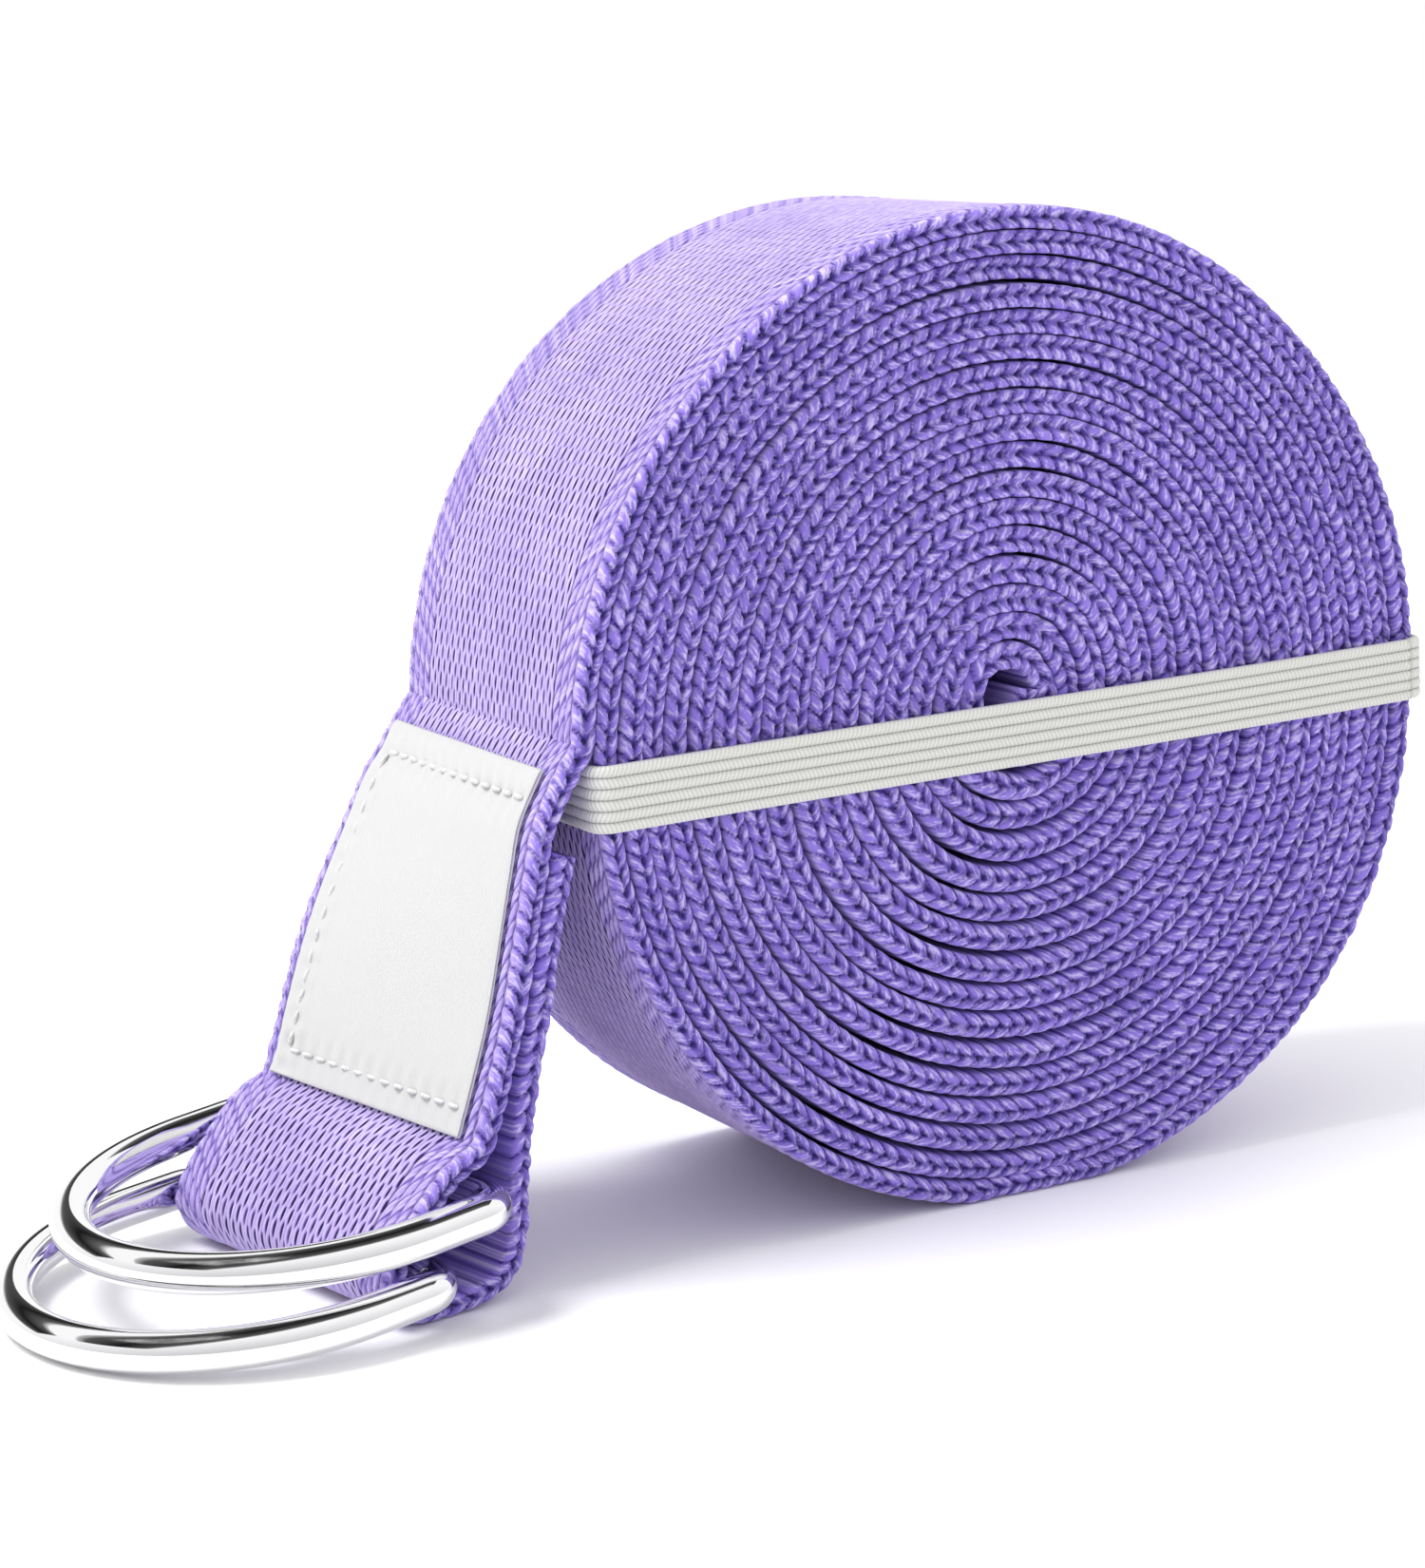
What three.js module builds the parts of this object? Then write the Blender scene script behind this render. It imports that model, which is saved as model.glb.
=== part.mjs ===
// A rolled stretching strap: cotton webbing with two D-rings sewn into its end, a woven label
// and an elastic band that keeps the roll closed. Millimetres, +Z up, floor at z = 0.
// The roll's axis is parallel to Y and passes over the origin, and the free end with the rings
// lies towards -X.
import * as THREE from "three";
import { mergeVertices } from "three/addons/utils/BufferGeometryUtils.js";

// ---- Driving dimensions ----

const CLEARANCE = 0.25; // between neighbouring pieces

// Webbing
const WEB_WIDTH = 38.1;
const WEB_THICK = 2.1;

// Roll: the outer radius shrinks by a pitch per turn, and the pitch grows towards the core
const ROLL_HEIGHT = 48.37; // of the roll's axis above the floor, which flattens its lowest side
const ROLL_RADIUS = 50.4;
const PITCH = 2.5;
const PITCH_GROWTH = 0.035; // per turn
const TURNS = 16.4;
const STEPS_PER_TURN = 44;
const OVAL = 0.7; // how far the hand-rolled outline leaves a circle
const OVAL_ANGLE = THREE.MathUtils.degToRad(278);
const CORE_SHIFT = new THREE.Vector2(-1.2, 3); // the core sits off the roll's centre
const TAIL_LEAVES_AT = 0.011; // turns from the roll's left side, where the tail's hinge lies

// D-rings, both the same size
const WIRE_RADIUS = 2;
const WIRE_SIDES = 12;
const RING_HALF_WIDTH = 22; // to the wire's centre
const RING_LEG = 8; // from the bar's centre line to where the round end starts
const RING_CORNER = 2.6;
const RING_STEPS = 76;

// Bars of the rings in the roll's own plane, from the roll's axis
const UPPER_BAR = new THREE.Vector2(-64.6, -37.7);
const LOWER_BAR = new THREE.Vector2(-71.1, -43.8);
const UPPER_TILT = THREE.MathUtils.degToRad(5.4); // the round end lies lower than the bar
const LOWER_TILT = THREE.MathUtils.degToRad(4.7);

// The tail turns about a vertical line as it comes down to the floor
const TAIL_YAW = THREE.MathUtils.degToRad(10);
const TAIL_YAW_X = -64;
const TAIL_YAW_TOP = 3.4;
const TAIL_YAW_BOTTOM = -24;

// Label and threads, as distances along the tail from its hinge and across its width
const LABEL_START = 3.4;
const LABEL_LENGTH = 36.5;
const LABEL_WIDTH = 32.5;
const LABEL_THICK = 0.5;
const THREAD = 0.6;
const THREAD_RISE = 0.3;
const LABEL_SEAM_INSET = 3.2;
const THREAD_GAP = 0.12; // between a thread and the cloth under it
const LOOP_SEAM = 26; // length of thread across the webbing
const LOOP_SEAM_UPPER = 4; // from the webbing's end
const LOOP_SEAM_LOWER = 9;

// Steps along the tail: of a thin strip on it, of the webbing, and round the hinge
const STRIP_STEP = 1.5;
const TAIL_STEPS = 110;
const CAP_STEPS = 5;
const CAP_FIRST_ANGLE = THREE.MathUtils.degToRad(15);

// Elastic band
const BAND_WIDTH = 6.4;
const BAND_THICK = 0.8;
const BAND_CORNER = 1.4;
const BAND_TILT = THREE.MathUtils.degToRad(1);
const BAND_DROP = 0.8; // of its middle below the roll's axis

// ---- Materials ----

function material(color, roughness, metalness = 0) {
  return new THREE.MeshStandardMaterial({ color, roughness, metalness });
}

const webbing = () => material(0x8b78cc, 0.9);
const chrome = () => material(0xe6e6e8, 0.08, 1);
const satin = () => material(0xf2f2f0, 0.5);
const whiteThread = () => material(0xffffff, 0.7);
const purpleThread = () => material(0x6d5ab5, 0.8);
const elastic = () => material(0xc6c6c2, 0.85);

// ---- Helpers ----

// The ring [low, high] of points is closed into an outline in X-Z and extruded along Y.
function extrudeAlongY(points, low, high) {
  const shape = new THREE.Shape(points);
  const geometry = new THREE.ExtrudeGeometry(shape, {
    depth: high - low,
    bevelEnabled: false,
  });
  geometry.rotateX(Math.PI / 2);
  geometry.translate(0, high, 0);
  return geometry;
}

function mesh(name, geometry, look) {
  const made = new THREE.Mesh(geometry, look);
  made.name = name;
  return made;
}

// ---- Roll ----

// A point of the spiral, `turns` in from the left side and `depth` below its outer face.
function spiralPoint(turns, depth) {
  const angle = Math.PI * (1 - 2 * turns);
  const plain = ROLL_RADIUS - PITCH * turns - (PITCH_GROWTH * turns * turns) / 2;
  const share = plain / ROLL_RADIUS;
  const oval = OVAL * share * share * Math.cos(2 * (angle - OVAL_ANGLE));
  const radius = plain + oval - depth;
  const centre = CORE_SHIFT.clone().multiplyScalar(1 - share);
  return new THREE.Vector2(
    centre.x + radius * Math.cos(angle),
    Math.max(centre.y + radius * Math.sin(angle), -ROLL_HEIGHT),
  );
}

const HINGE = spiralPoint(TAIL_LEAVES_AT, WEB_THICK / 2);

function strapRoll() {
  const margin = WEB_THICK / 2 + CLEARANCE;
  const start = TAIL_LEAVES_AT + margin / (2 * Math.PI * ROLL_RADIUS);
  const last = Math.round(TURNS * STEPS_PER_TURN);
  const outer = [];
  const inner = [];
  for (let i = 1; i <= last; i += 1) {
    const turns = Math.max(i / STEPS_PER_TURN, start);
    outer.push(spiralPoint(turns, 0));
    inner.push(spiralPoint(turns, WEB_THICK));
  }
  const outline = [...outer, ...inner.reverse()];
  const geometry = extrudeAlongY(outline, -WEB_WIDTH / 2, WEB_WIDTH / 2);
  return mesh("strap_roll", geometry, webbing());
}

// ---- Tail ----

// The middle of the webbing from the hinge, over and round both bars, and back up behind itself.
function tailLine() {
  const points = [
    HINGE,
    new THREE.Vector2(-50.05, 1.5),
    new THREE.Vector2(-51.7, -1.1),
    new THREE.Vector2(-53.4, -4),
    new THREE.Vector2(-55, -8.5),
    new THREE.Vector2(-57.5, -15.5),
    new THREE.Vector2(-60.2, -23.5),
    new THREE.Vector2(-62.8, -30.5),
    new THREE.Vector2(0.5, 4.4).add(UPPER_BAR),
    new THREE.Vector2(-1.3, 3.5).add(UPPER_BAR),
    new THREE.Vector2(-3.4, 2.3).add(UPPER_BAR),
    new THREE.Vector2(-2.8, 2).add(LOWER_BAR),
    new THREE.Vector2(-3.5, -0.1).add(LOWER_BAR),
    new THREE.Vector2(-2.4, -2.45).add(LOWER_BAR),
    new THREE.Vector2(0, -3.4).add(LOWER_BAR),
    new THREE.Vector2(-67, -47.1),
    new THREE.Vector2(-63.8, -46.6),
    new THREE.Vector2(-61.5, -44.85),
    new THREE.Vector2(-60.4, -42.1),
    new THREE.Vector2(-60.1, -38),
    new THREE.Vector2(-58.9, -30.5),
    new THREE.Vector2(-56.8, -22.5),
    new THREE.Vector2(-54.8, -15.5),
    new THREE.Vector2(-52.3, -8.5),
    new THREE.Vector2(-50.85, -4.2),
  ];
  return new THREE.CatmullRomCurve3(points.map((p) => new THREE.Vector3(p.x, p.y, 0)));
}

const TAIL_LINE = tailLine();
const TAIL_LENGTH = TAIL_LINE.getLength();

// A point `distance` along the tail's middle line and `offset` off it, outwards being positive.
// Before and after the line it goes straight on.
function tailPoint(distance, offset) {
  const at = THREE.MathUtils.clamp(distance / TAIL_LENGTH, 0, 1);
  const tangent = TAIL_LINE.getTangentAt(at);
  const point = TAIL_LINE.getPointAt(at).addScaledVector(tangent, distance - at * TAIL_LENGTH);
  return new THREE.Vector2(point.x + tangent.y * offset, point.y - tangent.x * offset);
}

// Turns a tail piece's point about the tail's own vertical line, more the lower it is.
function yawPoint(point) {
  const drop = THREE.MathUtils.smoothstep(-point.z, -TAIL_YAW_TOP, -TAIL_YAW_BOTTOM);
  const axis = new THREE.Vector3(TAIL_YAW_X, 0, 0);
  return point.sub(axis).applyAxisAngle(new THREE.Vector3(0, 0, 1), TAIL_YAW * drop).add(axis);
}

// Bends a straight piece, which has its length on X, its thickness on Y and its width on Z, along
// the tail's line.
function bendAlongTail(geometry) {
  const position = geometry.attributes.position;
  for (let i = 0; i < position.count; i += 1) {
    const place = tailPoint(position.getX(i), position.getY(i));
    const bent = yawPoint(new THREE.Vector3(place.x, position.getZ(i), place.y));
    position.setXYZ(i, bent.x, bent.y, bent.z);
  }
  geometry.computeVertexNormals();
  return geometry;
}

// A flat piece that follows the tail's line: from `start` to `end` along it, between two offsets
// from its middle, and from `low` to `high` across the width.
function tailStrip(start, end, offsets, low, high) {
  const steps = Math.max(1, Math.round((end - start) / STRIP_STEP));
  const thickness = offsets[1] - offsets[0];
  const geometry = new THREE.BoxGeometry(end - start, thickness, high - low, steps, 1, 1);
  geometry.translate((start + end) / 2, (offsets[0] + offsets[1]) / 2, (low + high) / 2);
  return bendAlongTail(geometry);
}

// The tail starts with a round end about the hinge, so that it turns clear of the roll.
function strapTail() {
  const steps = CAP_STEPS + TAIL_STEPS;
  const geometry = new THREE.BoxGeometry(steps, WEB_THICK, WEB_WIDTH, steps, 1, 1);
  const position = geometry.attributes.position;
  for (let i = 0; i < position.count; i += 1) {
    const step = Math.round(position.getX(i) + steps / 2) - CAP_STEPS;
    const angle = THREE.MathUtils.lerp(Math.PI / 2, CAP_FIRST_ANGLE, Math.max(-step, 0) / CAP_STEPS);
    const before = (WEB_THICK / 2) * Math.cos(angle);
    const along = (TAIL_LENGTH * Math.max(step, 0)) / TAIL_STEPS;
    position.setX(i, along - before);
    position.setY(i, position.getY(i) * Math.sin(angle));
  }
  return mesh("strap_tail", bendAlongTail(geometry), webbing());
}

// ---- Label and threads ----

const LABEL_BACK = WEB_THICK / 2 + 1.5 * CLEARANCE;
const LABEL_FACE = LABEL_BACK + LABEL_THICK;

function label() {
  const end = LABEL_START + LABEL_LENGTH;
  const half = LABEL_WIDTH / 2;
  const offsets = [LABEL_BACK, LABEL_FACE];
  return mesh("label", tailStrip(LABEL_START, end, offsets, -half, half), satin());
}

// A row of stitches on the label, as one thread: across the label, or along one side of it.
function labelThread(name, start, end, low, high) {
  const under = LABEL_FACE + THREAD_GAP;
  const offsets = [under, under + THREAD_RISE];
  return mesh(name, tailStrip(start, end, offsets, low, high), whiteThread());
}

function labelThreads() {
  const half = LABEL_WIDTH / 2 - LABEL_SEAM_INSET;
  const top = LABEL_START + LABEL_SEAM_INSET;
  const bottom = LABEL_START + LABEL_LENGTH - LABEL_SEAM_INSET;
  return [
    labelThread("label_thread_top", top, top + THREAD, -half, half),
    labelThread("label_thread_bottom", bottom - THREAD, bottom, -half, half),
    labelThread("label_thread_side", top + 1, bottom - 1, half + THREAD, half + 2 * THREAD),
  ];
}

// The two seams that close the loop, where their thread shows on the back of the webbing.
function loopThreads() {
  const rise = WEB_THICK / 2 + CLEARANCE / 2;
  const offsets = [rise, rise + THREAD_RISE];
  const half = LOOP_SEAM / 2;
  return [
    ["loop_thread_upper", LOOP_SEAM_UPPER],
    ["loop_thread_lower", LOOP_SEAM_LOWER],
  ].map(([name, inset]) => {
    const end = TAIL_LENGTH - inset;
    return mesh(name, tailStrip(end - THREAD, end, offsets, -half, half), purpleThread());
  });
}

// ---- D-rings ----

// The wire's centre line: a straight bar on Y, two legs, and a half circle towards -X.
class RingLine extends THREE.Curve {
  constructor() {
    super();
    const straight = RING_HALF_WIDTH - RING_CORNER;
    this.outline = new THREE.Path();
    this.outline.moveTo(0, 0);
    this.outline.lineTo(0, straight);
    this.outline.absarc(-RING_CORNER, straight, RING_CORNER, 0, Math.PI / 2);
    this.outline.lineTo(-RING_LEG, RING_HALF_WIDTH);
    this.outline.absarc(-RING_LEG, 0, RING_HALF_WIDTH, Math.PI / 2, 1.5 * Math.PI);
    this.outline.lineTo(-RING_CORNER, -RING_HALF_WIDTH);
    this.outline.absarc(-RING_CORNER, -straight, RING_CORNER, 1.5 * Math.PI, 2 * Math.PI);
    this.outline.lineTo(0, 0);
  }

  getPoint(t, target = new THREE.Vector3()) {
    const point = this.outline.getPoint(t);
    return target.set(point.x, point.y, 0);
  }
}

// A tube along a closed line needs no lids, so only its sides are kept, joined at the seam.
function closedTube(line, radius, sides, steps) {
  const section = new THREE.Shape();
  section.absarc(0, 0, radius, 0, 2 * Math.PI);
  const tube = new THREE.ExtrudeGeometry(section, {
    extrudePath: line,
    steps,
    curveSegments: sides,
  });
  const sideGroup = tube.groups[1];
  const kept = tube.attributes.position.array.slice(
    sideGroup.start * 3,
    (sideGroup.start + sideGroup.count) * 3,
  );
  const geometry = new THREE.BufferGeometry();
  geometry.setAttribute("position", new THREE.BufferAttribute(kept, 3));
  const merged = mergeVertices(geometry, 1e-3);
  merged.computeVertexNormals();
  return merged;
}

// A ring whose bar lies in the tail's loop at `bar`.
function dRing(name, bar, tilt) {
  const geometry = closedTube(new RingLine(), WIRE_RADIUS, WIRE_SIDES, RING_STEPS);
  const ring = mesh(name, geometry, chrome());
  const reach = bar.x - TAIL_YAW_X;
  ring.position.set(
    TAIL_YAW_X + reach * Math.cos(TAIL_YAW),
    reach * Math.sin(TAIL_YAW),
    bar.y,
  );
  ring.rotation.set(0, -tilt, TAIL_YAW, "ZYX");
  return ring;
}

// ---- Elastic band ----

function roundedRectangle(ShapeClass, left, right, half, corner) {
  const shape = new ShapeClass();
  const quarter = Math.PI / 2;
  shape.moveTo(left + corner, -half);
  shape.lineTo(right - corner, -half);
  shape.absarc(right - corner, -half + corner, corner, -quarter, 0);
  shape.lineTo(right, half - corner);
  shape.absarc(right - corner, half - corner, corner, 0, quarter);
  shape.lineTo(left + corner, half);
  shape.absarc(left + corner, half - corner, corner, quarter, 2 * quarter);
  shape.lineTo(left, -half + corner);
  shape.absarc(left + corner, -half + corner, corner, 2 * quarter, 3 * quarter);
  return shape;
}

const BAND_LEFT = spiralPoint(1, 0).x - CLEARANCE;
const BAND_RIGHT = spiralPoint(0.5, 0).x + CLEARANCE;
const BAND_HALF = WEB_WIDTH / 2 + CLEARANCE;

function elasticBand() {
  const outer = roundedRectangle(
    THREE.Shape,
    BAND_LEFT - BAND_THICK,
    BAND_RIGHT + BAND_THICK,
    BAND_HALF + BAND_THICK,
    BAND_CORNER,
  );
  const inner = roundedRectangle(
    THREE.Path,
    BAND_LEFT,
    BAND_RIGHT,
    BAND_HALF,
    BAND_CORNER - BAND_THICK,
  );
  outer.holes.push(inner);
  const geometry = new THREE.ExtrudeGeometry(outer, {
    depth: BAND_WIDTH,
    bevelEnabled: false,
    curveSegments: 4,
  });
  geometry.translate(0, 0, -BAND_WIDTH / 2);
  return mesh("elastic_band", geometry, elastic());
}

function bandThread() {
  const geometry = new THREE.BoxGeometry(THREAD, THREAD_RISE, BAND_WIDTH * 0.8);
  const thread = mesh("band_thread", geometry, elastic());
  thread.position.y = BAND_HALF + BAND_THICK + THREAD_GAP + THREAD_RISE / 2;
  return thread;
}

function band() {
  const group = new THREE.Group();
  group.add(elasticBand(), bandThread());
  group.position.z = -BAND_DROP;
  group.rotation.y = -BAND_TILT;
  return group;
}

// ---- Assembly ----

const strap = new THREE.Group();
strap.position.z = ROLL_HEIGHT;
strap.add(strapRoll(), strapTail(), label(), ...labelThreads(), ...loopThreads());
strap.add(dRing("ring_upper", UPPER_BAR, UPPER_TILT));
strap.add(dRing("ring_lower", LOWER_BAR, LOWER_TILT));
strap.add(band());

const part = new THREE.Group();
part.add(strap);

export default part;
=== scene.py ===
"""A rolled webbing strap with D-rings, a blank label and an elastic band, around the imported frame.

Lengths are in millimetres, from the roll's axis, until a mesh is made. The strap's middle line is
the one in the CAD source: the spiral, then the tail that goes over and round the rings' bars.
"""

import math

import bpy
import numpy as np
from mathutils import Matrix, Vector


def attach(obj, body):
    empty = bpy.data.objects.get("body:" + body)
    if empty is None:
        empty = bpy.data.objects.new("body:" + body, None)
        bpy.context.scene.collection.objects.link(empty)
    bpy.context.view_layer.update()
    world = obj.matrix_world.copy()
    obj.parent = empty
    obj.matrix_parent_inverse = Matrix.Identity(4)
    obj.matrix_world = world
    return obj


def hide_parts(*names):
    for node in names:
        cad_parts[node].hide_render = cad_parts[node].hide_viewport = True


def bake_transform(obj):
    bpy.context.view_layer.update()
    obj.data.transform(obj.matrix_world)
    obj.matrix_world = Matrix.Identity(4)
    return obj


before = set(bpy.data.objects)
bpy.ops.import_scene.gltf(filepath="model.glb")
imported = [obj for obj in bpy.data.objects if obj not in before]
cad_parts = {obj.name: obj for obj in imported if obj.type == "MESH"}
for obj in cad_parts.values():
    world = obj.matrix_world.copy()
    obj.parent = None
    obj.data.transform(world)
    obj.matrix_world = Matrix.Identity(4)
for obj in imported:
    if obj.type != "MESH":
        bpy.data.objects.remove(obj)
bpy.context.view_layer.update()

MM = 0.001
RANDOM = np.random.default_rng(7)

# ---- The CAD source's dimensions. Places are (x, z) ----

WEB_WIDTH = 38.1
WEB_THICK = 2.1
ROLL_HEIGHT = 48.37
ROLL_RADIUS = 50.4
PITCH = 2.5
PITCH_GROWTH = 0.035
TURNS = 16.4
OVAL = 0.7
OVAL_ANGLE = math.radians(278)
CORE_SHIFT = (-1.2, 3)
TAIL_LEAVES_AT = 0.011
WIRE_RADIUS = 2
RING_HALF_WIDTH = 22
RING_LEG = 8
RING_CORNER = 2.6
UPPER_BAR = (-64.6, -37.7)
LOWER_BAR = (-71.1, -43.8)
UPPER_TILT = math.radians(5.4)
LOWER_TILT = math.radians(4.7)
TAIL_YAW = math.radians(10)
TAIL_YAW_X = -64
TAIL_YAW_TOP = 3.4
TAIL_YAW_BOTTOM = -24
LABEL_START = 3.4
LABEL_LENGTH = 36.5
LABEL_WIDTH = 32.5
LABEL_THICK = 0.5
LABEL_BACK = WEB_THICK / 2 + 0.3
LABEL_SEAM_INSET = 3.2
LOOP_SEAM = 26
BAND_WIDTH = 6.4
BAND_THICK = 0.8
BAND_TILT = math.radians(1)
BAND_DROP = 0.8
BAND_GAP = 0.25


# ---- Meshes ----


def mesh_object(name, points, quads, ngons=()):
    """A smooth mesh object from points in millimetres above the floor's middle."""
    mesh = bpy.data.meshes.new(name)
    corners = np.concatenate([np.ravel(quads), *[np.array(n) for n in ngons]]).astype(np.int32)
    sizes = np.array([4] * len(quads) + [len(n) for n in ngons], np.int32)
    starts = np.concatenate([[0], np.cumsum(sizes)[:-1]]).astype(np.int32)
    mesh.vertices.add(len(points))
    mesh.vertices.foreach_set("co", np.ravel(points * MM).astype(np.float32))
    mesh.loops.add(len(corners))
    mesh.loops.foreach_set("vertex_index", corners)
    mesh.polygons.add(len(sizes))
    mesh.polygons.foreach_set("loop_start", starts)
    mesh.polygons.foreach_set("use_smooth", np.ones(len(sizes), bool))
    mesh.update(calc_edges=True)
    made = bpy.data.objects.new(name, mesh)
    bpy.context.scene.collection.objects.link(made)
    return made


def grid_quads(grid):
    """The quads between neighbouring rows and columns of a grid of point numbers."""
    corners = [grid[:-1, :-1], grid[:-1, 1:], grid[1:, 1:], grid[1:, :-1]]
    return np.stack(corners, -1).reshape(-1, 4)


def add_vectors(made, name, values):
    """Gives every point of a mesh a vector that its material can read."""
    attribute = made.data.attributes.new(name, "FLOAT_VECTOR", "POINT")
    attribute.data.foreach_set("vector", np.ravel(values).astype(np.float32))


def lift(points):
    """Points from the roll's axis as points from the floor."""
    return points + np.array([0, 0, ROLL_HEIGHT])


# ---- The strap's middle line ----


def spiral(turns, depth):
    """Points of the rolled strap, at these turns from the tail and this deep under its outer face."""
    angle = np.pi * (1 - 2 * turns)
    plain = ROLL_RADIUS - PITCH * turns - PITCH_GROWTH * turns**2 / 2
    share = plain / ROLL_RADIUS
    radius = plain + OVAL * share**2 * np.cos(2 * (angle - OVAL_ANGLE)) - depth
    x = CORE_SHIFT[0] * (1 - share) + radius * np.cos(angle)
    z = CORE_SHIFT[1] * (1 - share) + radius * np.sin(angle)
    return np.column_stack([x, z])


def centripetal(points, steps):
    """The smooth line through the points, as three.js draws its Catmull-Rom curve."""
    first = 2 * points[0] - points[1]
    last = 2 * points[-1] - points[-2]
    p = np.vstack([first, points, last])
    made = [points[:1]]
    t = np.linspace(0, 1, steps + 1)[1:, None]
    for p0, p1, p2, p3 in zip(p, p[1:], p[2:], p[3:], strict=False):
        d0, d1, d2 = (np.linalg.norm(b - a) ** 0.5 for a, b in ((p0, p1), (p1, p2), (p2, p3)))
        m1 = d1 * ((p1 - p0) / d0 - (p2 - p0) / (d0 + d1) + (p2 - p1) / d1)
        m2 = d1 * ((p2 - p1) / d1 - (p3 - p1) / (d1 + d2) + (p3 - p2) / d2)
        cubic = (2 * p1 - 2 * p2 + m1 + m2) * t**3
        square = (3 * p2 - 3 * p1 - 2 * m1 - m2) * t**2
        made.append(p1 + m1 * t + square + cubic)
    return np.vstack(made)


def tail_points():
    """Points of the tail's middle line: down to the rings, round both bars and up behind itself."""
    hinge = spiral(np.array([TAIL_LEAVES_AT]), WEB_THICK / 2)[0]
    upper = np.array(UPPER_BAR)
    lower = np.array(LOWER_BAR)
    return np.array([
        hinge,
        (-50.05, 1.5),
        (-51.7, -1.1),
        (-53.4, -4),
        (-55, -8.5),
        (-57.5, -15.5),
        (-60.2, -23.5),
        (-62.8, -30.5),
        upper + (0.5, 4.4),
        upper + (-1.3, 3.5),
        upper + (-3.4, 2.3),
        lower + (-2.8, 2),
        lower + (-3.5, -0.1),
        lower + (-2.4, -2.45),
        lower + (0, -3.4),
        (-67, -47.1),
        (-63.8, -46.6),
        (-61.5, -44.85),
        (-60.4, -42.1),
        (-60.1, -38),
        (-58.9, -30.5),
        (-56.8, -22.5),
        (-54.8, -15.5),
        (-52.3, -8.5),
        (-50.85, -4.2),
    ])


def lengths(line):
    """How far along the line each of its points is."""
    return np.concatenate([[0], np.cumsum(np.linalg.norm(np.diff(line, axis=0), axis=1))])


def directions(line):
    """The line's unit direction at each of its points."""
    along = np.gradient(line, axis=0)
    return along / np.linalg.norm(along, axis=1, keepdims=True)


TAIL_STEPS = 40  # from each point to the next
TAIL_LINE = centripetal(tail_points(), TAIL_STEPS)
TAIL_AT = lengths(TAIL_LINE)
TAIL_DIRECTION = directions(TAIL_LINE)


def on_tail(distance, offset):
    """Points at these distances from the hinge and offsets from the middle line, as x and z."""
    x = np.interp(distance, TAIL_AT, TAIL_LINE[:, 0])
    z = np.interp(distance, TAIL_AT, TAIL_LINE[:, 1])
    tx = np.interp(distance, TAIL_AT, TAIL_DIRECTION[:, 0])
    tz = np.interp(distance, TAIL_AT, TAIL_DIRECTION[:, 1])
    return x + tz * offset, z - tx * offset


def yawed(points):
    """Every height of the tail turned about the tail's own vertical line."""
    drop = np.clip((TAIL_YAW_TOP - points[..., 2]) / (TAIL_YAW_TOP - TAIL_YAW_BOTTOM), 0, 1)
    yaw = TAIL_YAW * drop * drop * (3 - 2 * drop)
    x = points[..., 0] - TAIL_YAW_X
    y = points[..., 1]
    turned_x = TAIL_YAW_X + x * np.cos(yaw) - y * np.sin(yaw)
    turned_y = x * np.sin(yaw) + y * np.cos(yaw)
    return np.stack([turned_x, turned_y, points[..., 2]], -1)


# ---- Webbing ----

STITCH = 1.9  # length of one V of the chain along the webbing's edge
ROW_STEP = STITCH / 8
EDGE_COLUMNS = 11
EDGE_DEPTH = 1.05  # how far the rounded edge reaches in from the side
EDGE_THICK = 2.2  # at the tail, and more towards the core
EDGE_THICKENS = 0.9  # share of the turns' growing pitch that the edge fills
CHAIN_SLANT = 0.62  # of a stitch, from the V's point to its tips
CHAIN_RELIEF = 0.72
CHAIN_GROOVE = 0.38
CREASE_WIDTH = 0.24  # of the edge's half thickness, between the legs of the Vs
YARN = 0.65
COLUMN_STEP = YARN / 4
FLOAT = 2.6  # length of one pair of rows of the weave
YARN_GROOVE = 0.07
SLIT_DEPTH = 0.34
SLIT_WIDTH = 0.25  # of a yarn
ROPE_FROM = 13.75  # the webbing's edge has three rope-like columns beside the chain
ROPE_WIDTH = 1.25
ROPE_RELIEF = 0.5
ROPE_TONE = 0.6  # the rope-like columns are between the chain and the plain weave in colour
FINE_TURNS = 1.06  # the outer face is modelled in detail on these turns, which can be seen
LINE_STEPS = 9000
LOOSE_WAVES = ((0.1, 2.3, 1), (0.07, 5.1, 0))  # height, waves in one turn, and phase
LOOSE_FROM = 60  # before the hinge, where the turns start to be loose
FLOOR_GAP = 0.05
BACK_LAYER_SHORT = 2.5  # so that the sewn-down end, close to the roll, wholly follows the tail
LOOP_SEAM_INSETS = {"loop_thread_upper": 5.5, "loop_thread_lower": 9}
CORE_FOLD = (  # the strap's inner end, folded back on itself in the roll's core
    (0.5, 3.4),
    (0.2, 1.5),
    (0.9, 0.1),
    (2.2, 0.3),
    (2.9, 1.7),
    (2.75, 3.4),
)
CORE_FOLD_STEPS = 20
CORE_FOLD_AIM = 40  # a later point of the roll, which sets the fold's direction where they join


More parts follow.
